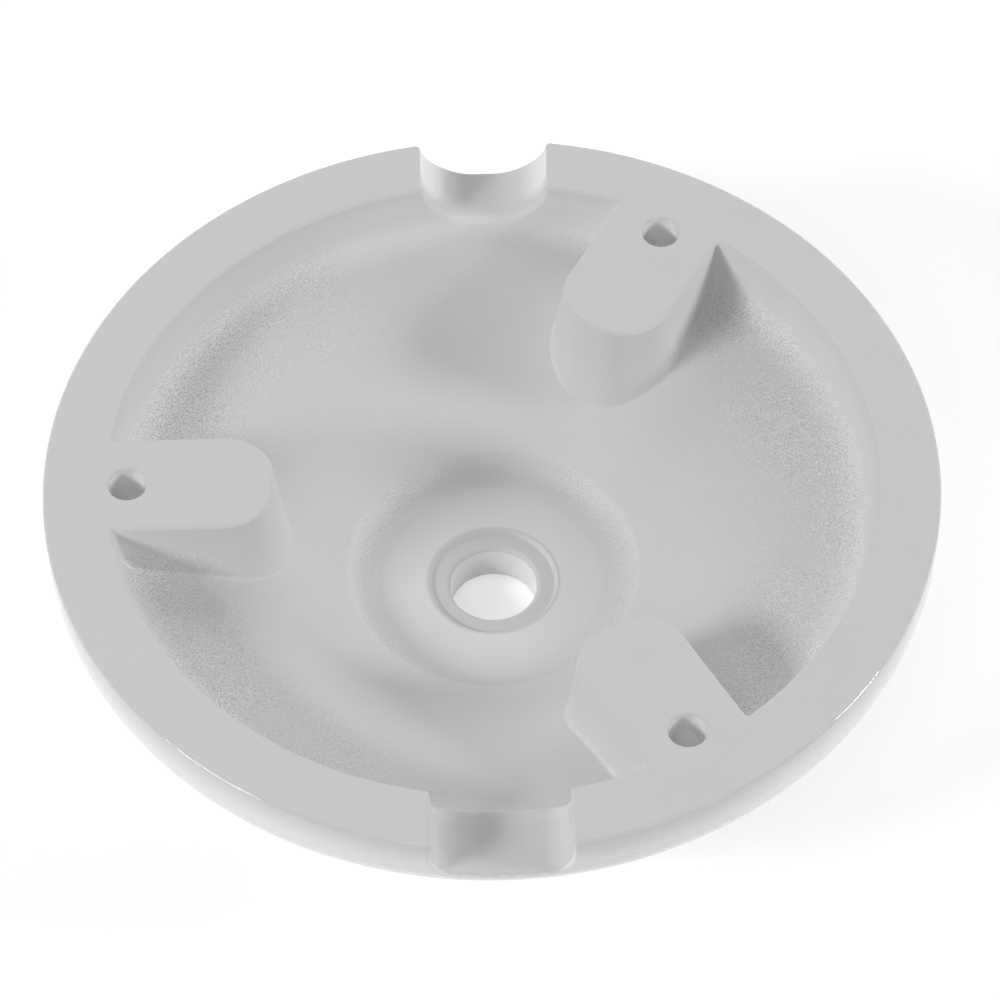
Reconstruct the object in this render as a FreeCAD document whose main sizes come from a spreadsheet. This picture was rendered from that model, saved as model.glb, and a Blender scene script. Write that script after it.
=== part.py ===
# Electrical ceiling rose: one cast and glazed porcelain dish, open towards the ceiling.
# The origin is the centre of the rim face that lies against the ceiling, and +Z points up into it.
# All lengths are in millimetres, and a depth is measured down from the rim face.
import FreeCAD
import Part
import Sketcher

import math
import os

NODE = "porcelain_rose"
NEAR = 0.01

SIZES = {
    # outside
    "overall_diameter": 106.0,
    "overall_height": 26.8,
    "shoulder_round": 8.0,
    "brim_depth": 11.6,
    "brim_fall": 0.9,
    "cone_foot_diameter": 66.0,
    "cone_foot_round": 8.0,
    "front_face_diameter": 37.0,
    "front_face_round": 3.0,
    # inside
    "dish_diameter": 91.0,
    "dish_wall_lean": 1.4,
    "dish_depth": 7.0,
    "dish_corner_round": 4.0,
    "floor_fall": 1.7,
    "funnel_diameter": 59.0,
    "funnel_round": 25.0,
    "recess_diameter": 35.4,
    "recess_edge_depth": 17.9,
    "recess_edge_round": 0.8,
    "recess_floor_diameter": 32.6,
    "recess_depth": 20.45,
    "recess_foot_round": 4.0,
    # cable hole and the seat round it
    "cable_hole_diameter": 10.5,
    "cable_hole_round": 0.6,
    "seat_diameter": 15.5,
    "seat_edge_depth": 20.65,
    "seat_depth": 0.6,
    "seat_draft": 0.15,
    "seat_round": 0.3,
    # screw bosses
    "boss_count": 3,
    "boss_width": 13.4,
    "boss_tip_reach": 25.8,
    "boss_corner_round": 5.8,
    "boss_draft": 7.0,
    "boss_foot_round": 0.5,
    "screw_circle_diameter": 86.0,
    "screw_hole_diameter": 4.6,
    "screw_mouth_round": 0.3,
    "screw_head_diameter": 8.6,
    "screw_head_angle": 90.0,
    # cable notches
    "notch_width": 16.0,
    "notch_depth": 5.8,
    "far_notch_round": 7.0,
    "near_notch_round": 3.0,
    # edges of the rim face and the notches
    "edge_round": 0.5,
}


def make_sheet(doc):
    """Writes each size into its own named cell."""
    sheet = doc.addObject("Spreadsheet::Sheet", "sizes")
    for row, (alias, size) in enumerate(SIZES.items(), start=1):
        sheet.set("A%d" % row, alias)
        sheet.set("B%d" % row, str(size))
        sheet.setAlias("B%d" % row, alias)
    doc.recompute()
    return sheet


doc = FreeCAD.newDocument("ceiling_rose")
sheet = make_sheet(doc)
body = doc.addObject("PartDesign::Body", NODE)
body.Label = NODE


def value(expression):
    """Gives the number that an expression over the sheet works out to."""
    return float(sheet.evalExpression(expression))


def origin_feature(role):
    """Finds one of the body's own origin planes or axes by its role."""
    return next(item for item in body.Origin.OriginFeatures if item.Role == role)


def new_sketch(name, role):
    """Starts a sketch on one of the body's origin planes."""
    sketch = body.newObject("Sketcher::SketchObject", name)
    sketch.AttachmentSupport = [(origin_feature(role), "")]
    sketch.MapMode = "FlatFace"
    return sketch


def tie(sketch, kind, geometry, point, expression):
    """Holds a sketch point at a distance from the origin that the sheet gives."""
    constraint = Sketcher.Constraint(kind, -1, 1, geometry, point, value(expression))
    index = sketch.addConstraint(constraint)
    sketch.setExpression("Constraints[%d]" % index, expression)


def pin(sketch, geometry, x, y):
    """Ties the first point of a sketch element to a place, or to an axis where the place is on one."""
    for kind, axis, expression in (("DistanceX", -2, x), ("DistanceY", -1, y)):
        if value(expression) == 0:
            sketch.addConstraint(Sketcher.Constraint("PointOnObject", geometry, 1, axis))
        else:
            tie(sketch, kind, geometry, 1, expression)


def rounded_corner(before, corner, after, radius):
    """Works out the arc that rounds a corner, its two ends and whether the outline turns left there."""
    back = (before - corner).normalize()
    ahead = (after - corner).normalize()
    half_angle = back.getAngle(ahead) / 2
    arrive = corner + back * (radius / math.tan(half_angle))
    leave = corner + ahead * (radius / math.tan(half_angle))
    centre = corner + (back + ahead).normalize() * (radius / math.sin(half_angle))
    turns_left = ahead.cross(back).z > 0
    first, last = (arrive, leave) if turns_left else (leave, arrive)
    start = math.atan2(first.y - centre.y, first.x - centre.x)
    end = math.atan2(last.y - centre.y, last.x - centre.x)
    circle = Part.Circle(centre, FreeCAD.Vector(0, 0, 1), radius)
    return Part.ArcOfCircle(circle, start, end), arrive, leave, turns_left


def outline(sketch, corners):
    """Draws a closed outline through corners: an expression each for x, y and the rounding, or None."""
    count = len(corners)
    points = [FreeCAD.Vector(value(x), value(y), 0) for x, y, _ in corners]
    arrive = list(points)
    leave = list(points)
    arcs = {}
    for index, (_, _, rounding) in enumerate(corners):
        if rounding is None:
            continue
        after = points[(index + 1) % count]
        rounded = rounded_corner(points[index - 1], points[index], after, value(rounding))
        arc, arrive[index], leave[index], turns_left = rounded
        arcs[index] = (arc, turns_left)
    for index in range(count):
        sketch.addGeometry(Part.LineSegment(leave[index], arrive[(index + 1) % count]), False)
    for index, (x, y, rounding) in enumerate(corners):
        before = (index - 1) % count
        if rounding is None:
            sketch.addConstraint(Sketcher.Constraint("Coincident", before, 2, index, 1))
            pin(sketch, index, x, y)
            continue
        arc, turns_left = arcs[index]
        curve = sketch.addGeometry(arc, False)
        arc_start, arc_end = (1, 2) if turns_left else (2, 1)
        sketch.addConstraint(Sketcher.Constraint("Tangent", before, 2, curve, arc_start))
        sketch.addConstraint(Sketcher.Constraint("Tangent", curve, arc_end, index, 1))
        size = sketch.addConstraint(Sketcher.Constraint("Radius", curve, value(rounding)))
        sketch.setExpression("Constraints[%d]" % size, rounding)
        corner = sketch.addGeometry(Part.Point(points[index]), True)
        sketch.addConstraint(Sketcher.Constraint("PointOnObject", corner, 1, before))
        sketch.addConstraint(Sketcher.Constraint("PointOnObject", corner, 1, index))
        pin(sketch, corner, x, y)


def settle(feature, adds, base=None):
    """Recomputes a new feature and makes sure that it added or removed material as it should."""
    base = base or feature.BaseFeature
    before = base.Shape.Volume if base else 0.0
    doc.recompute()
    change = feature.Shape.Volume - before
    if (change > 0) != adds:
        raise RuntimeError("%s changed the volume by %.3f" % (feature.Name, change))
    return feature


def turned(kind, name, sketch, adds):
    """Turns a sketch about the vertical axis."""
    feature = body.newObject(kind, name)
    feature.Profile = sketch
    feature.ReferenceAxis = (sketch, ["V_Axis"])
    feature.Angle = 360
    return settle(feature, adds)


def repeated(name, feature, adds):
    """Repeats a feature about the vertical axis, once for each boss."""
    pattern = body.newObject("PartDesign::PolarPattern", name)
    pattern.Originals = [feature]
    pattern.Axis = (origin_feature("Z_Axis"), [""])
    pattern.Angle = 360
    pattern.setExpression("Occurrences", "sizes.boss_count")
    body.Tip = pattern
    return settle(pattern, adds, feature)


def round_edges(name, radius, keep, adds):
    """Rounds those edges of the body so far that a test keeps."""
    base = body.Tip
    edges = enumerate(base.Shape.Edges, start=1)
    feature = body.newObject("PartDesign::Fillet", name)
    feature.Base = (base, ["Edge%d" % number for number, edge in edges if keep(edge)])
    feature.setExpression("Radius", radius)
    return settle(feature, adds)


def reach(point):
    """Gives a point's distance from the vertical axis."""
    return math.hypot(point.x, point.y)


def middle_of(edge):
    """Gives the point half way along an edge."""
    return edge.valueAt((edge.FirstParameter + edge.LastParameter) / 2)


def is_flush(edge):
    """Tells whether an edge lies in the rim face."""
    points = [middle_of(edge)] + [vertex.Point for vertex in edge.Vertexes]
    return all(abs(point.z) < NEAR for point in points)


def is_boss_corner(edge):
    """Tells whether an edge runs down from the rim face where a boss leaves the dish wall."""
    ends = sorted((vertex.Point for vertex in edge.Vertexes), key=lambda end: end.z)
    if len(ends) != 2 or abs(ends[1].z) > NEAR or ends[0].z > -NEAR:
        return False
    top = ends[1]
    pitch = 2 * math.pi / value("sizes.boss_count")
    turn = math.remainder(math.atan2(top.y, top.x) - math.pi, pitch)
    on_wall = abs(reach(top) - value("sizes.dish_diameter / 2")) < NEAR
    beside_boss = abs(reach(top) * abs(math.sin(turn)) - value("sizes.boss_width / 2")) < NEAR
    return on_wall and beside_boss


def is_screw_mouth(edge):
    """Tells whether an edge is the mouth of a screw hole in the rim face."""
    if not is_flush(edge) or not isinstance(edge.Curve, Part.Circle):
        return False
    return abs(edge.Curve.Radius - value("sizes.screw_hole_diameter / 2")) < NEAR


def touches_notch(point):
    """Tells whether a point lies on the floor or the sides of a notch."""
    rounding = value("sizes.far_notch_round" if point.y > 0 else "sizes.near_notch_round")
    across = abs(point.x) - value("sizes.notch_width / 2") + rounding
    down = rounding - value("sizes.notch_depth") - point.z
    off = math.hypot(across, down) if across > 0 and down > 0 else max(across, down)
    return abs(off - rounding) < NEAR and reach(point) > value("sizes.screw_circle_diameter / 2")


def is_soft_edge(edge):
    """Tells whether an edge borders the rim face, or a notch where it opens into the dish or outside."""
    if is_flush(edge):
        return not is_screw_mouth(edge)
    ends = [vertex.Point for vertex in edge.Vertexes]
    if not all(touches_notch(point) for point in ends + [middle_of(edge)]):
        return False
    return abs(ends[0].y - ends[-1].y) < value("(sizes.overall_diameter - sizes.dish_diameter) / 4")


# Blank: the finished inside of the dish, with a plain cylinder outside.
blank_sketch = new_sketch("blank_section", "XZ_Plane")
seat_floor = "-sizes.seat_edge_depth - sizes.seat_depth"
outline(blank_sketch, [
    ("sizes.cable_hole_diameter / 2", "-sizes.overall_height", "sizes.cable_hole_round"),
    ("sizes.overall_diameter / 2", "-sizes.overall_height", None),
    ("sizes.overall_diameter / 2", "0", None),
    ("sizes.dish_diameter / 2", "0", None),
    ("sizes.dish_diameter / 2 - sizes.dish_wall_lean", "-sizes.dish_depth", "sizes.dish_corner_round"),
    ("sizes.funnel_diameter / 2", "-sizes.dish_depth - sizes.floor_fall", "sizes.funnel_round"),
    ("sizes.recess_diameter / 2", "-sizes.recess_edge_depth", "sizes.recess_edge_round"),
    ("sizes.recess_floor_diameter / 2", "-sizes.recess_depth", "sizes.recess_foot_round"),
    ("sizes.seat_diameter / 2", "-sizes.seat_edge_depth", "sizes.seat_round"),
    ("sizes.seat_diameter / 2 - sizes.seat_draft", seat_floor, "sizes.seat_round"),
    ("sizes.cable_hole_diameter / 2", seat_floor, "sizes.cable_hole_round"),
])
turned("PartDesign::Revolution", "blank", blank_sketch, True)

# Screw bosses: drafted, flush with the rim face and rooted in the rim, with soft feet.
boss_sketch = new_sketch("boss_plan", "XY_Plane")
boss_root = "-(sizes.overall_diameter + sizes.dish_diameter) / 4"
outline(boss_sketch, [
    (boss_root, "-sizes.boss_width / 2", None),
    ("-sizes.boss_tip_reach", "-sizes.boss_width / 2", "sizes.boss_corner_round"),
    ("-sizes.boss_tip_reach", "sizes.boss_width / 2", "sizes.boss_corner_round"),
    (boss_root, "sizes.boss_width / 2", None),
])
boss = body.newObject("PartDesign::Pad", "boss")
boss.Profile = boss_sketch
boss.Reversed = True
boss.setExpression("Length", "sizes.recess_edge_depth")
boss.setExpression("TaperAngle", "sizes.boss_draft")
repeated("bosses", settle(boss, True), True)
round_edges("boss_feet", "sizes.boss_foot_round", is_boss_corner, True)

# Front: the blank turned down to the brim, the cone and the flat front face.
front_sketch = new_sketch("front_section", "XZ_Plane")
outline(front_sketch, [
    ("sizes.seat_diameter / 2", "-sizes.overall_height", None),
    ("sizes.front_face_diameter / 2", "-sizes.overall_height", "sizes.front_face_round"),
    ("sizes.cone_foot_diameter / 2", "-sizes.brim_depth - sizes.brim_fall", "sizes.cone_foot_round"),
    ("sizes.overall_diameter / 2", "-sizes.brim_depth", "sizes.shoulder_round"),
    ("sizes.overall_diameter / 2", "-sizes.notch_depth / 2", None),
    ("sizes.overall_diameter", "-sizes.notch_depth / 2", None),
    ("sizes.overall_diameter", "-2 * sizes.overall_height", None),
    ("sizes.seat_diameter / 2", "-2 * sizes.overall_height", None),
])
turned("PartDesign::Groove", "front", front_sketch, False)

# Cable notches: one cut out through each side of the rim, the far one with a rounder floor.
for side, backwards in (("far", False), ("near", True)):
    notch_sketch = new_sketch(side + "_notch_section", "XZ_Plane")
    rounding = "sizes.%s_notch_round" % side
    outline(notch_sketch, [
        ("-sizes.notch_width / 2", "2 * sizes.notch_depth", None),
        ("-sizes.notch_width / 2", "-sizes.notch_depth", rounding),
        ("sizes.notch_width / 2", "-sizes.notch_depth", rounding),
        ("sizes.notch_width / 2", "2 * sizes.notch_depth", None),
    ])
    notch = body.newObject("PartDesign::Pocket", side + "_notch")
    notch.Profile = notch_sketch
    notch.Type = "ThroughAll"
    notch.Reversed = backwards
    settle(notch, False)

# Screw holes: up through each boss, countersunk from the front.
screw_sketch = new_sketch("screw_plan", "XY_Plane")
screw_sketch.setExpression("AttachmentOffset.Base.z", "-sizes.brim_depth - sizes.brim_fall")
screw_place = FreeCAD.Vector(-value("sizes.screw_circle_diameter / 2"), 0, 0)
screw_circle = Part.Circle(screw_place, FreeCAD.Vector(0, 0, 1), value("sizes.screw_hole_diameter / 2"))
screw_sketch.addGeometry(screw_circle, False)
screw_sketch.addConstraint(Sketcher.Constraint("PointOnObject", 0, 3, -1))
tie(screw_sketch, "DistanceX", 0, 3, "-sizes.screw_circle_diameter / 2")
doc.recompute()
screw_hole = body.newObject("PartDesign::Hole", "screw_hole")
screw_hole.Profile = screw_sketch
screw_hole.Reversed = True
screw_hole.DepthType = "ThroughAll"
screw_hole.HoleCutType = "Countersink"
screw_hole.HoleCutCustomValues = True
screw_hole.setExpression("Diameter", "sizes.screw_hole_diameter")
screw_hole.setExpression("HoleCutDiameter", "sizes.screw_head_diameter")
screw_hole.setExpression("HoleCutCountersinkAngle", "sizes.screw_head_angle")
repeated("screw_holes", settle(screw_hole, False), False)
round_edges("screw_mouths", "sizes.screw_mouth_round", is_screw_mouth, False)
round_edges("soft_edges", "sizes.edge_round", is_soft_edge, False)

failed = [item.Name for item in doc.Objects if "Invalid" in item.State or "Error" in item.State]
if failed:
    raise RuntimeError("failed features: %s" % ", ".join(failed))
if body.Shape.isNull() or not body.Shape.isValid() or len(body.Shape.Solids) != 1:
    raise RuntimeError("%s is not one valid solid" % NODE)
os.makedirs("parts", exist_ok=True)
body.Shape.exportStep("parts/%s.step" % body.Label)
print("%s: %.2f cubic centimetres" % (body.Label, body.Shape.Volume / 1000))
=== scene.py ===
"""Dresses the electrical ceiling rose, a cast porcelain dish, and sets it under plain studio light.

Everything is in metres in the part's own frame: the origin is the centre of the rim face that lies
against the ceiling, and +Z points up into it. Sizes in the classes below are in millimetres.
"""

import logging
import math
from dataclasses import dataclass
from enum import Enum

import bpy
import numpy as np
from bpy.types import NodeSocket
from mathutils import Matrix, Vector


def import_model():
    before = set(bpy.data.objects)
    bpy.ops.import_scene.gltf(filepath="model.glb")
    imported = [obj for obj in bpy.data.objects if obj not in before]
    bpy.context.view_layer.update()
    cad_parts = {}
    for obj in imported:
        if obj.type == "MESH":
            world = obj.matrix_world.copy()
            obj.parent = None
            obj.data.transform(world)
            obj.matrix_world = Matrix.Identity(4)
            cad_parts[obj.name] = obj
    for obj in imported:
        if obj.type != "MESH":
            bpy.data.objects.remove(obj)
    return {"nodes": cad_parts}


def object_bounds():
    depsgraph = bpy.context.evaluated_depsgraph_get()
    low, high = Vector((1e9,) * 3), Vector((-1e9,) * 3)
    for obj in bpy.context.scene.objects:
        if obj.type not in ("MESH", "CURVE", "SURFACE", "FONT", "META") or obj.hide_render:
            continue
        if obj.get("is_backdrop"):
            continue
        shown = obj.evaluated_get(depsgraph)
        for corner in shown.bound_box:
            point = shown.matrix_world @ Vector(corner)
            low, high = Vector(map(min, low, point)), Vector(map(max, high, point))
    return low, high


MM = 0.001
IMAGE_SIDE = 1000
SMOOTH = {"interpolation_type": "SMOOTHSTEP"}

# A profile pairs distances from the axis in millimetres with the share of a finish there.
Profile = tuple[tuple[float, float], ...]
Span = tuple[float, float]

log = logging.getLogger("ceiling_rose")


def linear(hex_colour: str) -> tuple[float, float, float, float]:
    """Turns an sRGB colour into the linear colour that shaders take.

    Args:
        hex_colour: six hex digits after a hash sign.

    Returns:
        The linear red, green and blue, and an alpha of one.
    """
    shares = [int(hex_colour[place:place + 2], 16) / 255 for place in (1, 3, 5)]
    red, green, blue = (s / 12.92 if s <= 0.04045 else ((s + 0.055) / 1.055) ** 2.4 for s in shares)
    return red, green, blue, 1.0


def direction(azimuth: float, elevation: float) -> Vector:
    """Gives the unit vector towards a compass turn and a height above the horizon.

    Args:
        azimuth: degrees from +X towards +Y.
        elevation: degrees up from the horizon.

    Returns:
        The unit vector.
    """
    turn, rise = math.radians(azimuth), math.radians(elevation)
    return Vector((math.cos(turn) * math.cos(rise), math.sin(turn) * math.cos(rise), math.sin(rise)))


class NodeTree:
    """A material's or world's nodes, emptied and ready to be filled."""

    def __init__(self, owner: bpy.types.Material | bpy.types.World) -> None:
        """Switches the owner's nodes on and clears them."""
        owner.use_nodes = True
        self.tree = owner.node_tree
        self.tree.nodes.clear()

    def add(self, kind: str, links: dict | None = None, output: int | str = 0,
            **settings) -> NodeSocket | None:
        """Adds a node, sets its properties and fills its inputs.

        Args:
            kind: the node's type name.
            links: for each input name or number, an output socket to link or a value to set.
            output: the name or number of the output that is wanted.
            **settings: properties of the node itself.

        Returns:
            The wanted output socket, or nothing where the node has none.
        """
        node = self.tree.nodes.new(kind)
        for name, value in settings.items():
            setattr(node, name, value)
        for socket, source in (links or {}).items():
            if isinstance(source, NodeSocket):
                self.tree.links.new(source, node.inputs[socket])
            else:
                node.inputs[socket].default_value = source
        return node.outputs[output] if node.outputs else None


def seen_directly(nodes: NodeTree) -> NodeSocket:
    """Tells the rays that see a backdrop itself from those that only take its light.

    Args:
        nodes: the nodes of the backdrop's material or world.

    Returns:
        One for a ray from the camera, a reflection or glass, and zero for any other.
    """
    seen = 0.0
    for ray in ("Is Camera Ray", "Is Glossy Ray", "Is Transmission Ray"):
        kind = nodes.add("ShaderNodeLightPath", output=ray)
        seen = nodes.add("ShaderNodeMath", {0: kind, 1: seen}, operation="MAXIMUM")
    return seen


@dataclass(frozen=True)
class Spot:
    """The point being shaded: where it lies in the part's own frame, and how its surface faces."""

    place: NodeSocket
    across: NodeSocket
    behind: NodeSocket
    height: NodeSocket
    reach: NodeSocket
    facing: NodeSocket
    backward: NodeSocket

    @classmethod
    def read(cls, nodes: NodeTree) -> "Spot":
        """Adds the nodes that read the point.

        Args:
            nodes: the material's nodes.

        Returns:
            The point, its distance from the middle plane, its Y and Z, its distance from the axis, and
            how far its surface faces +Z and +Y.
        """
        place = nodes.add("ShaderNodeTexCoord", output="Object")
        normal = nodes.add("ShaderNodeTexCoord", output="Normal")
        sideways = nodes.add("ShaderNodeSeparateXYZ", {0: place}, "X")
        flat = nodes.add("ShaderNodeVectorMath", {0: place, 1: (1.0, 1.0, 0.0)}, operation="MULTIPLY")
        return cls(
            place=place,
            across=nodes.add("ShaderNodeMath", {0: sideways}, operation="ABSOLUTE"),
            behind=nodes.add("ShaderNodeSeparateXYZ", {0: place}, "Y"),
            height=nodes.add("ShaderNodeSeparateXYZ", {0: place}, "Z"),
            reach=nodes.add("ShaderNodeVectorMath", {0: flat}, "Value", operation="LENGTH"),
            facing=nodes.add("ShaderNodeSeparateXYZ", {0: normal}, "Z"),
            backward=nodes.add("ShaderNodeSeparateXYZ", {0: normal}, "Y"),
        )


class Zone(Enum):
    """A part of the porcelain's surface that was finished in its own way, or on which light or shade is
    painted.
    """

    GLAZED = "glazed outside"
    # White glaze, partly painted light: whiter in the bores and lower down the outer wall.
    GLAZE_AND_PAINTED_LIGHT = "white under thick glaze"
    # Painted highlight on the edges under the rim face that look backward.
    EDGE = "rubbed edge"
    SANDY = "sandy floor"
    SEAT = "fettled seat"
    # Painted light on the floor of the well and on the dish wall.
    PAINTED_LIGHT = "wiped well and wall"
    # Painted shade round the well.
    SHADED = "shaded side of the well"


@dataclass(frozen=True)
class CastPorcelain:
    """White electrical porcelain, pressed in a mould, glazed outside and left as fired inside.

    The bare body is dull and a little chalky, with patches of sandy grain, painted light on the floor of the
    well and on the dish wall, and painted shade round the well. The glaze outside and in the bores is wet
    and whiter, partly as painted light, the outer wall is painted greyer near the rim, and the edges that
    look backward carry a painted highlight.
    """

    # Colours of the body, of what lies on it, of painted shade and light, and of the glaze, whose white is
    # partly painted light.
    body_colour: str = "#dedede"
    cloud_colour: str = "#d9d9d9"
    speck_colour: str = "#b2b2b1"
    pit_colour: str = "#bcbcbc"
    grit_colour: str = "#f6f6f6"
    # Painted shade round the well, painted light on edges, well and wall, and a glaze white that is partly
    # painted light.
    painted_shade_colour: str = "#b4b4b4"
    painted_light_colour: str = "#f0f0f0"
    glaze_and_painted_light_colour: str = "#f5f5f5"

    # Dull body and wet glaze.
    body_roughness: float = 0.58
    glaze_roughness: float = 0.05
    index: float = 1.5

    # Faint clouds in the body, and sparse dark specks that the kiln left.
    cloud_width: float = 7.0
    cloud_detail: float = 4.0
    cloud_roughness: float = 0.6
    speck_spacing: float = 4.0
    speck_width: float = 0.24
    speck_share: float = 0.7

    # Sandy grain: real grit is finer than a pixel, so it is drawn as coarse as it needs to show.
    grain_width: float = 0.2
    grain_height: float = 0.03
    grain_levels: Span = (0.3, 0.7)
    fine_detail: float = 1.0

    # The sand lies in patches, and is worn near the middle plane, where the share of X in the reach is low.
    patch_width: float = 13.0
    patch_levels: Span = (0.35, 0.6)
    patch_least: float = 0.35
    worn_levels: Span = (0.25, 0.7)
    worn_least: float = 0.2

    # The glaze ends in a wandering line near the rim's outer edge; below it the outer wall is painted shade,
    # keeping the body's grey near the rim and turning white lower down.
    glaze_line: float = 52.55
    glaze_wander: float = 0.5
    glaze_fade: float = 0.1
    painted_wall_shade_depth: Span = (0.8, 4.2)
    painted_wall_shade_share: float = 0.95

    # The glaze also covers what faces down and the upright walls of the bores, where its white is partly
    # painted light.
    under_levels: Span = (-0.05, -0.3)
    upright_slack: float = 0.06
    bore_reach: float = 45.3

    # It has run down both sides of the far notch.
    dribble_from: float = 40.0
    dribble_depth: float = 0.5
    dribble_reach: Span = (46.0, 48.5)
    dribble_across: Span = (4.0, 7.0)

    # Painted highlights lie on tilted strips just under the rim face, most on those that look away from the
    # front.
    edge_tilt: Span = (0.95, 0.8)
    edge_depth: Span = (0.3, 0.15)
    edge_turn: Span = (-0.1, 0.4)
    edge_share: float = 0.6

    # Ripples in the glaze break its glints, and burrs roughen the seat round the cable hole.
    ripple_width: float = 1.8
    ripple_height: float = 0.08
    burr_width: float = 0.7
    burr_height: float = 0.12

    # Rings of sand, painted shade, painted light and burrs, of which sand and painted shade lie only deep in
    # the dish.
    sheltered_depth: Span = (2.5, 6.0)
    sand: Profile = (
        (13.5, 0.0), (15.5, 0.5), (17.3, 0.5), (18.2, 0.1), (30.0, 0.15), (37.0, 0.8), (40.0, 1.0),
        (44.2, 1.0), (45.0, 0.0))
    painted_shade: Profile = ((11.5, 0.0), (14.5, 0.06), (16.3, 0.06), (17.6, 0.0))
    painted_light: Profile = (
        (7.9, 0.0), (8.3, 0.9), (11.0, 0.8), (12.5, 0.7), (14.0, 0.4), (15.5, 0.0), (42.8, 0.0), (44.0, 0.2),
        (45.4, 0.2), (45.9, 0.0))
    burrs: Profile = ((7.3, 0.0), (7.6, 1.0), (7.8, 1.0), (8.1, 0.0))

    def ring(self, nodes: NodeTree, spot: Spot, profile: Profile) -> NodeSocket:
        """Looks a share up on a profile over the distance from the axis.

        Args:
            nodes: the material's nodes.
            spot: the point being shaded.
            profile: pairs of a distance in millimetres and the share there.

        Returns:
            The share, which runs straight from one pair to the next.
        """
        span = profile[-1][0]
        along = nodes.add("ShaderNodeMath", {0: spot.reach, 1: span * MM}, operation="DIVIDE")
        share = nodes.add("ShaderNodeValToRGB", {"Fac": along})
        stops = share.node.color_ramp.elements
        stops.remove(stops[1])
        for distance, level in profile:
            stops.new(distance / span).color = (level, level, level, 1.0)
        return share

    def rim_glaze(self, nodes: NodeTree, spot: Spot) -> NodeSocket:
        """Covers all that lies outside the wandering line near the rim's outer edge.

        Args:
            nodes: the material's nodes.
            spot: the point being shaded.

        Returns:
            The share of glaze.
        """
        wander = nodes.add("ShaderNodeTexNoise", {"Vector": spot.place,
                                                  "Scale": 1 / (self.ripple_width * MM)})
        line = nodes.add("ShaderNodeMath", {0: wander, 1: self.glaze_wander * MM, 2: spot.reach},
                         operation="MULTIPLY_ADD")
        middle = self.glaze_line + self.glaze_wander / 2
        return nodes.add("ShaderNodeMapRange", {"Value": line, "From Min": (middle - self.glaze_fade) * MM,
                                                "From Max": (middle + self.glaze_fade) * MM}, **SMOOTH)

    def notch_glaze(self, nodes: NodeTree, spot: Spot) -> NodeSocket:
        """Covers the sides of the far notch, under the rim face and outside the dish.

        Args:
            nodes: the material's nodes.
            spot: the point being shaded.

        Returns:
            The share of glaze.
        """
        inner, outer = self.dribble_across
        begin, whole = self.dribble_reach
        dribble = nodes.add("ShaderNodeMapRange", {"Value": spot.across, "From Min": inner * MM,
                                                   "From Max": outer * MM}, **SMOOTH)
        for limit in (
            nodes.add("ShaderNodeMath", {0: spot.behind, 1: self.dribble_from * MM},
                      operation="GREATER_THAN"),
            nodes.add("ShaderNodeMath", {0: spot.height, 1: -self.dribble_depth * MM}, operation="LESS_THAN"),
            nodes.add("ShaderNodeMapRange", {"Value": spot.reach, "From Min": begin * MM,
                                             "From Max": whole * MM}, **SMOOTH),
        ):
            dribble = nodes.add("ShaderNodeMath", {0: dribble, 1: limit}, operation="MULTIPLY")
        return dribble

    def glaze(self, nodes: NodeTree, spot: Spot) -> tuple[NodeSocket, NodeSocket]:
        """Joins the glaze of the outside, the underside, the bores and the far notch.

        Args:
            nodes: the material's nodes.
            spot: the point being shaded.

        Returns:
            The share that is glazed, and the share painted white as glaze and painted light, less near the
            rim as painted shade.
        """
        rim = self.rim_glaze(nodes, spot)
        level, down = self.under_levels
        under = nodes.add("ShaderNodeMapRange", {"Value": spot.facing, "From Min": level, "From Max": down},
                          **SMOOTH)
        upright = nodes.add("ShaderNodeMath", {0: spot.facing, 1: 0.0, 2: self.upright_slack},
                            operation="COMPARE")
        within = nodes.add("ShaderNodeMath", {0: spot.reach, 1: self.bore_reach * MM}, operation="LESS_THAN")
        bore = nodes.add("ShaderNodeMath", {0: upright, 1: within}, operation="MULTIPLY")
        glazed = rim
        for share in (under, bore, self.notch_glaze(nodes, spot)):
            glazed = nodes.add("ShaderNodeMath", {0: glazed, 1: share}, operation="MAXIMUM")
        # Painted shade: the outer wall keeps the body's grey near the rim and turns white lower down.
        upper, lower = self.painted_wall_shade_depth
        painted_wall_shade = nodes.add("ShaderNodeMapRange", {"Value": spot.height, "From Min": -lower * MM,
                                                "From Max": -upper * MM, "To Max": self.painted_wall_shade_share})
        painted_wall_shade = nodes.add("ShaderNodeMath", {0: painted_wall_shade, 1: rim}, operation="MULTIPLY")
        glaze_and_painted_light = nodes.add("ShaderNodeMath", {0: glazed, 1: painted_wall_shade}, operation="SUBTRACT", use_clamp=True)
        return glazed, glaze_and_painted_light

    def painted_edge_highlight(self, nodes: NodeTree, spot: Spot) -> NodeSocket:
        """Paints a highlight on the tilted strips just under the rim face, most of all on those that look
        backward.

        Args:
            nodes: the material's nodes.
            spot: the point being shaded.

        Returns:
            The share of rubbed edge.
        """
        flat, steep = self.edge_tilt
        lower, upper = self.edge_depth
        front, back = self.edge_turn
        edge = nodes.add("ShaderNodeMapRange", {"Value": spot.facing, "From Min": flat, "From Max": steep},
                         **SMOOTH)
        for limit in (
            nodes.add("ShaderNodeMapRange", {"Value": spot.height, "From Min": -lower * MM,
                                             "From Max": -upper * MM}, **SMOOTH),
            nodes.add("ShaderNodeMapRange", {"Value": spot.backward, "From Min": front, "From Max": back,
                                             "To Max": self.edge_share}),
        ):
            edge = nodes.add("ShaderNodeMath", {0: edge, 1: limit}, operation="MULTIPLY")
        return edge

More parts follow.
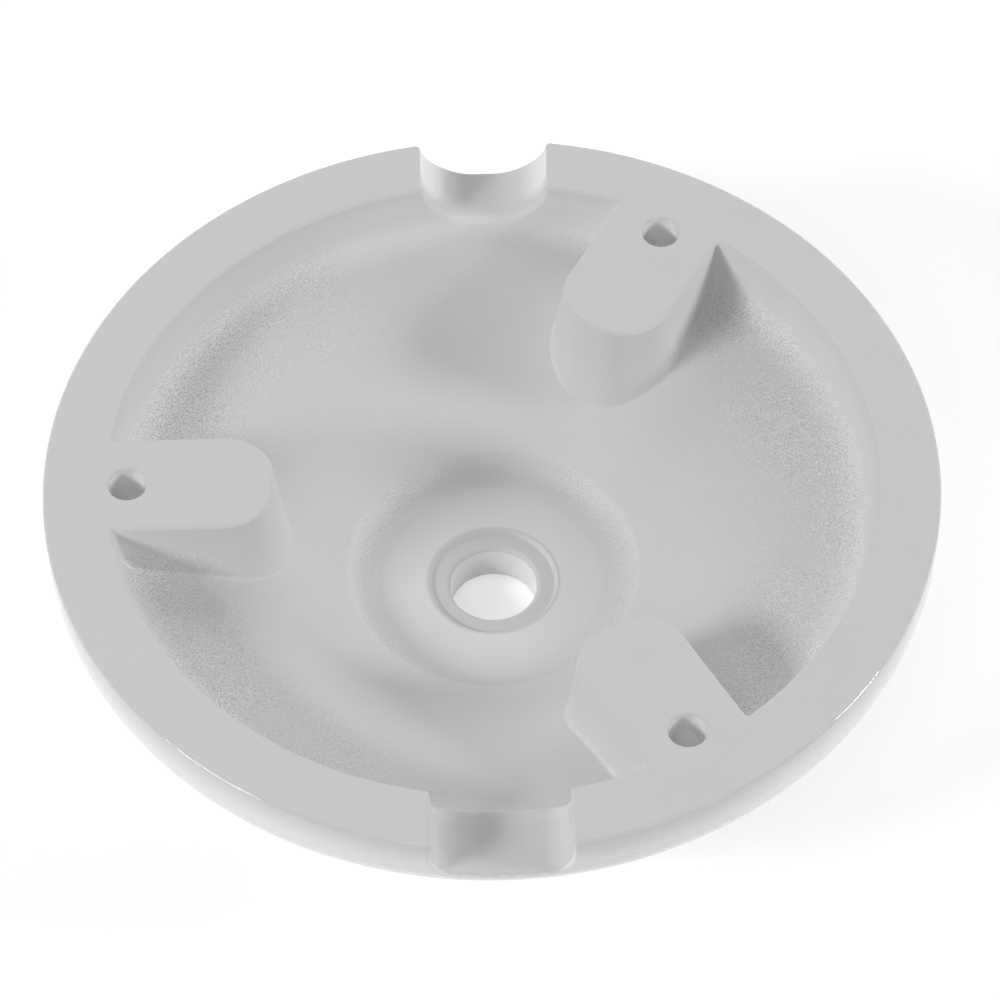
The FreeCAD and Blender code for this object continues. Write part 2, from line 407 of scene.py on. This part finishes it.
    def patchy_sand(self, nodes: NodeTree, spot: Spot, sheltered: NodeSocket) -> NodeSocket:
        """Lays sand in rings, deep in the dish, in patches and mostly towards the two sides.

        Args:
            nodes: the material's nodes.
            spot: the point being shaded.
            sheltered: the share by which the point lies deep in the dish.

        Returns:
            The share of sand.
        """
        patch = nodes.add("ShaderNodeTexNoise", {"Vector": spot.place, "Scale": 1 / (self.patch_width * MM)})
        bare, full = self.patch_levels
        patch = nodes.add("ShaderNodeMapRange", {"Value": patch, "From Min": bare, "From Max": full,
                                                 "To Min": self.patch_least})
        aside = nodes.add("ShaderNodeMath", {0: spot.across, 1: spot.reach}, operation="DIVIDE")
        bare, full = self.worn_levels
        worn = nodes.add("ShaderNodeMapRange", {"Value": aside, "From Min": bare, "From Max": full,
                                                "To Min": self.worn_least})
        sandy = self.ring(nodes, spot, self.sand)
        for limit in (sheltered, patch, worn):
            sandy = nodes.add("ShaderNodeMath", {0: sandy, 1: limit}, operation="MULTIPLY")
        return sandy

    def zones(self, nodes: NodeTree, spot: Spot) -> dict[Zone, NodeSocket]:
        """Works out each zone's share at a point from where it lies and how it faces.

        Args:
            nodes: the material's nodes.
            spot: the point being shaded.

        Returns:
            The share of each zone from zero to one.
        """
        shallow, deep = self.sheltered_depth
        sheltered = nodes.add("ShaderNodeMapRange", {"Value": spot.height, "From Min": -shallow * MM,
                                                     "From Max": -deep * MM}, **SMOOTH)
        sunk = nodes.add("ShaderNodeMapRange", {"Value": spot.height, "From Max": -shallow * MM}, **SMOOTH)
        # Painted shade: a darker ring round the well.
        painted_shade = self.ring(nodes, spot, self.painted_shade)
        # Painted light: a paler floor of the well and a paler band on the dish wall.
        painted_light = self.ring(nodes, spot, self.painted_light)
        glazed, glaze_and_painted_light = self.glaze(nodes, spot)
        return {
            Zone.GLAZED: glazed,
            Zone.GLAZE_AND_PAINTED_LIGHT: glaze_and_painted_light,
            Zone.EDGE: self.painted_edge_highlight(nodes, spot),
            Zone.SANDY: self.patchy_sand(nodes, spot, sheltered),
            Zone.SEAT: self.ring(nodes, spot, self.burrs),
            Zone.PAINTED_LIGHT: nodes.add("ShaderNodeMath", {0: painted_light, 1: sunk}, operation="MULTIPLY"),
            Zone.SHADED: nodes.add("ShaderNodeMath", {0: painted_shade, 1: sheltered}, operation="MULTIPLY"),
        }

    def bare_body(self, nodes: NodeTree, spot: Spot) -> NodeSocket:
        """Tints the body with faint clouds and sparse specks.

        Args:
            nodes: the material's nodes.
            spot: the point being shaded.

        Returns:
            The colour.
        """
        cloud = nodes.add("ShaderNodeTexNoise", {
            "Vector": spot.place,
            "Scale": 1 / (self.cloud_width * MM),
            "Detail": self.cloud_detail,
            "Roughness": self.cloud_roughness,
        })
        body = nodes.add("ShaderNodeMix", {"Factor": cloud, "A": linear(self.body_colour),
                                           "B": linear(self.cloud_colour)}, "Result", data_type="RGBA")
        away = nodes.add("ShaderNodeTexVoronoi", {"Vector": spot.place,
                                                  "Scale": 1 / (self.speck_spacing * MM)})
        speck = nodes.add("ShaderNodeMapRange", {
            "Value": away,
            "From Min": self.speck_width / self.speck_spacing / 2,
            "From Max": 0.0,
            "To Max": self.speck_share,
        })
        return nodes.add("ShaderNodeMix", {"Factor": speck, "A": body, "B": linear(self.speck_colour)},
                         "Result", data_type="RGBA")

    def colour(self, nodes: NodeTree, spot: Spot, zones: dict[Zone, NodeSocket]) -> NodeSocket:
        """Lays sand, painted shade, painted light and highlights, and white glaze that is partly painted
        light over the bare body, in that order.

        Args:
            nodes: the material's nodes.
            spot: the point being shaded.
            zones: the share of each zone.

        Returns:
            The colour.
        """
        grain = nodes.add("ShaderNodeTexNoise", {"Vector": spot.place, "Scale": 1 / (self.grain_width * MM),
                                                 "Detail": self.fine_detail})
        dark, light = self.grain_levels
        grit = nodes.add("ShaderNodeMapRange", {"Value": grain, "From Min": dark, "From Max": light})
        sand = nodes.add("ShaderNodeMix", {"Factor": grit, "A": linear(self.pit_colour),
                                           "B": linear(self.grit_colour)}, "Result", data_type="RGBA")
        # Painted light: pale edges, well floor and dish wall.
        painted_light_share = nodes.add("ShaderNodeMath", {0: zones[Zone.EDGE], 1: zones[Zone.PAINTED_LIGHT]}, operation="MAXIMUM")
        colour = self.bare_body(nodes, spot)
        for share, layer in (
            (zones[Zone.SANDY], sand),
            (zones[Zone.SHADED], linear(self.painted_shade_colour)),
            (painted_light_share, linear(self.painted_light_colour)),
            (zones[Zone.GLAZE_AND_PAINTED_LIGHT], linear(self.glaze_and_painted_light_colour)),
        ):
            colour = nodes.add("ShaderNodeMix", {"Factor": share, "A": colour, "B": layer}, "Result",
                               data_type="RGBA")
        return colour

    def relief(self, nodes: NodeTree, spot: Spot, zones: dict[Zone, NodeSocket]) -> NodeSocket:
        """Adds up the surface's small heights in metres: sand, ripples in the glaze and burrs on the seat.

        Args:
            nodes: the material's nodes.
            spot: the point being shaded.
            zones: the share of each zone.

        Returns:
            The tilted normal.
        """
        total = 0.0
        for zone, width, rise in (
            (Zone.SANDY, self.grain_width, self.grain_height),
            (Zone.GLAZED, self.ripple_width, self.ripple_height),
            (Zone.SEAT, self.burr_width, self.burr_height),
        ):
            noise = nodes.add("ShaderNodeTexNoise", {"Vector": spot.place, "Scale": 1 / (width * MM),
                                                     "Detail": self.fine_detail})
            share = nodes.add("ShaderNodeMath", {0: zones[zone], 1: rise * MM}, operation="MULTIPLY")
            total = nodes.add("ShaderNodeMath", {0: noise, 1: share, 2: total}, operation="MULTIPLY_ADD")
        return nodes.add("ShaderNodeBump", {"Height": total, "Distance": 1.0, "Strength": 1.0})

    def build(self) -> bpy.types.Material:
        """Makes the procedural material.

        Returns:
            The material.
        """
        material = bpy.data.materials.new("cast_porcelain")
        nodes = NodeTree(material)
        spot = Spot.read(nodes)
        zones = self.zones(nodes, spot)
        shader = nodes.add("ShaderNodeBsdfPrincipled", {
            "Base Color": self.colour(nodes, spot, zones),
            "Normal": self.relief(nodes, spot, zones),
            "Roughness": nodes.add("ShaderNodeMapRange", {"Value": zones[Zone.GLAZED],
                                                          "To Min": self.body_roughness,
                                                          "To Max": self.glaze_roughness}),
            "IOR": self.index,
        })
        nodes.add("ShaderNodeOutputMaterial", {"Surface": shader})
        return material


@dataclass
class CeilingRose:
    """The one cast piece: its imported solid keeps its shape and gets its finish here."""

    node: str = "porcelain_rose"
    finish: CastPorcelain = CastPorcelain()

    def dress(self, nodes: dict[str, bpy.types.Object]) -> bpy.types.Object:
        """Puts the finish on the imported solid.

        Args:
            nodes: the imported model's objects by name.

        Returns:
            The dressed object.
        """
        piece = nodes[self.node]
        piece.data.materials.clear()
        piece.data.materials.append(self.finish.build())
        return piece


@dataclass(frozen=True)
class WhiteSweep:
    """Matt white paper sweep: it looks white to the camera and still takes the object's shadow."""

    colour: str = "#f4f4f4"
    glow: float = 0.40

    def build(self) -> bpy.types.Material:
        """Makes the floor's material.

        Returns:
            The material.
        """
        material = bpy.data.materials.new("white_paper")
        nodes = NodeTree(material)
        strength = nodes.add("ShaderNodeMath", {0: seen_directly(nodes), 1: self.glow}, operation="MULTIPLY")
        paper = nodes.add("ShaderNodeBsdfDiffuse", {"Color": linear(self.colour)})
        glow = nodes.add("ShaderNodeEmission", {"Strength": strength})
        both = nodes.add("ShaderNodeAddShader", {0: paper, 1: glow})
        nodes.add("ShaderNodeOutputMaterial", {"Surface": both})
        return material


@dataclass
class StudioFloor:
    """A round sheet of white paper that the rose lies on, face down."""

    radius: float = 2500.0
    # The paper lies a hair lower than the part, so that no two faces are in one plane.
    gap: float = 0.02
    rings: int = 24
    spokes: int = 96
    finish: WhiteSweep = WhiteSweep()

    def surface(self, height: float) -> tuple[np.ndarray, np.ndarray]:
        """Works out a flat disc on a grid of rings and spokes.

        A point is the ring's radius along the spoke's direction. Ring radii grow with the square of
        their number, so the grid is finer under the object.

        Args:
            height: the floor's place on Z in metres.

        Returns:
            The points, and the faces as quads of point numbers.
        """
        ring = (np.arange(1, self.rings + 1) / self.rings) ** 2 * self.radius * MM
        spoke = np.arange(self.spokes) / self.spokes * 2 * np.pi
        across, turn = np.meshgrid(ring, spoke, indexing="ij")
        level = np.full_like(across, height)
        points = np.stack([across * np.cos(turn), across * np.sin(turn), level], axis=-1)
        row, column = np.meshgrid(np.arange(self.rings - 1), np.arange(self.spokes), indexing="ij")
        after = (column + 1) % self.spokes
        corners = [row * self.spokes + column, (row + 1) * self.spokes + column,
                   (row + 1) * self.spokes + after, row * self.spokes + after]
        return points.reshape(-1, 3), np.stack(corners, axis=-1).reshape(-1, 4)

    def build(self, height: float) -> bpy.types.Object:
        """Makes the floor under the object.

        Args:
            height: the place on Z of the object's lowest point, in metres.

        Returns:
            The floor object.
        """
        points, quads = self.surface(height - self.gap * MM)
        mesh = bpy.data.meshes.new("floor")
        middle = list(range(self.spokes))
        mesh.from_pydata(points.tolist(), [], quads.tolist() + [middle])
        mesh.materials.append(self.finish.build())
        floor = bpy.data.objects.new("floor", mesh)
        bpy.context.scene.collection.objects.link(floor)
        floor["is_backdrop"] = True
        return floor


class Side(Enum):
    """Where a softbox stands round the object, as degrees from +X towards +Y."""

    BACK = 90.0
    LEFT_FRONT = 207.0
    FRONT = 250.0
    RIGHT_FRONT = 352.0


@dataclass(frozen=True)
class Softbox:
    """A studio lamp behind a white cloth, which looks at the object."""

    side: Side
    elevation: float
    width: float
    height: float
    watts: float
    distance: float = 900.0

    def build(self) -> bpy.types.Object:
        """Makes the lamp.

        Returns:
            The lamp object.
        """
        name = "softbox_" + self.side.name.lower()
        lamp = bpy.data.lights.new(name, "AREA")
        lamp.shape = "RECTANGLE"
        lamp.size, lamp.size_y = self.width * MM, self.height * MM
        lamp.energy = self.watts
        place = direction(self.side.value, self.elevation) * self.distance * MM
        box = bpy.data.objects.new(name, lamp)
        box.matrix_world = Matrix.Translation(place) @ (-place).to_track_quat("-Z", "Y").to_matrix().to_4x4()
        bpy.context.scene.collection.objects.link(box)
        return box


@dataclass(frozen=True)
class LightTent:
    """Even white surround, seen as white by the camera and by reflections."""

    colour: str = "#ffffff"
    level: float = 0.22

    def build(self) -> bpy.types.World:
        """Makes the world.

        Returns:
            The world.
        """
        world = bpy.data.worlds.new("light_tent")
        nodes = NodeTree(world)
        strength = nodes.add("ShaderNodeMapRange", {"Value": seen_directly(nodes), "To Min": self.level})
        tent = nodes.add("ShaderNodeBackground", {"Strength": strength, "Color": linear(self.colour)})
        nodes.add("ShaderNodeOutputWorld", {"Surface": tent})
        bpy.context.scene.world = world
        return world


@dataclass(frozen=True)
class PhotoCamera:
    """A camera at the photograph's place: a long lens that looks down into the dish."""

    focal_pixels: float = 5194.71
    sensor: float = 36.0
    azimuth: float = -0.659
    elevation: float = 52.360
    roll: float = -0.801
    distance: float = 610.74
    target: tuple[float, float] = (0.895, -3.678)
    clip: Span = (10.0, 10000.0)

    def build(self) -> bpy.types.Object:
        """Makes the camera and sets it as the scene's own.

        Returns:
            The camera object.
        """
        lens = bpy.data.cameras.new("camera")
        lens.sensor_width = self.sensor
        lens.lens = self.focal_pixels / IMAGE_SIDE * self.sensor
        lens.clip_start, lens.clip_end = (limit * MM for limit in self.clip)
        back = direction(self.azimuth - 90, self.elevation)
        right = direction(self.azimuth, 0)
        up = back.cross(right)
        roll = math.radians(self.roll)
        right, up = right * math.cos(roll) + up * math.sin(roll), up * math.cos(roll) - right * math.sin(roll)
        camera = bpy.data.objects.new("camera", lens)
        place = Matrix((right, up, back)).transposed().to_4x4()
        place.translation = Vector((*self.target, 0)) * MM + back * self.distance * MM
        camera.matrix_world = place
        bpy.context.scene.collection.objects.link(camera)
        bpy.context.scene.camera = camera
        return camera


LIGHT_RIG = (
    Softbox(Side.LEFT_FRONT, elevation=29.5, width=300, height=150, watts=3.4),
    Softbox(Side.RIGHT_FRONT, elevation=22, width=190, height=190, watts=3.2),
    Softbox(Side.BACK, elevation=32, width=1200, height=600, watts=2.8),
    Softbox(Side.FRONT, elevation=50, width=200, height=200, watts=0.5),
)


def main() -> None:
    """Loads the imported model, dresses it and sets the stage round it."""
    logging.basicConfig(level=logging.INFO, format="%(name)s: %(message)s")
    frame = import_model()
    cad_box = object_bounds()
    bpy.context.scene.view_settings.view_transform = "Standard"
    log.info("dressed %s", CeilingRose().dress(frame["nodes"]).name)
    log.info("laid %s", StudioFloor().build(cad_box[0].z).name)
    log.info("lit by %s", LightTent().build().name)
    for softbox in LIGHT_RIG:
        log.info("lit by %s", softbox.build().name)
    log.info("seen by %s", PhotoCamera().build().name)


if __name__ == "__main__":
    main()
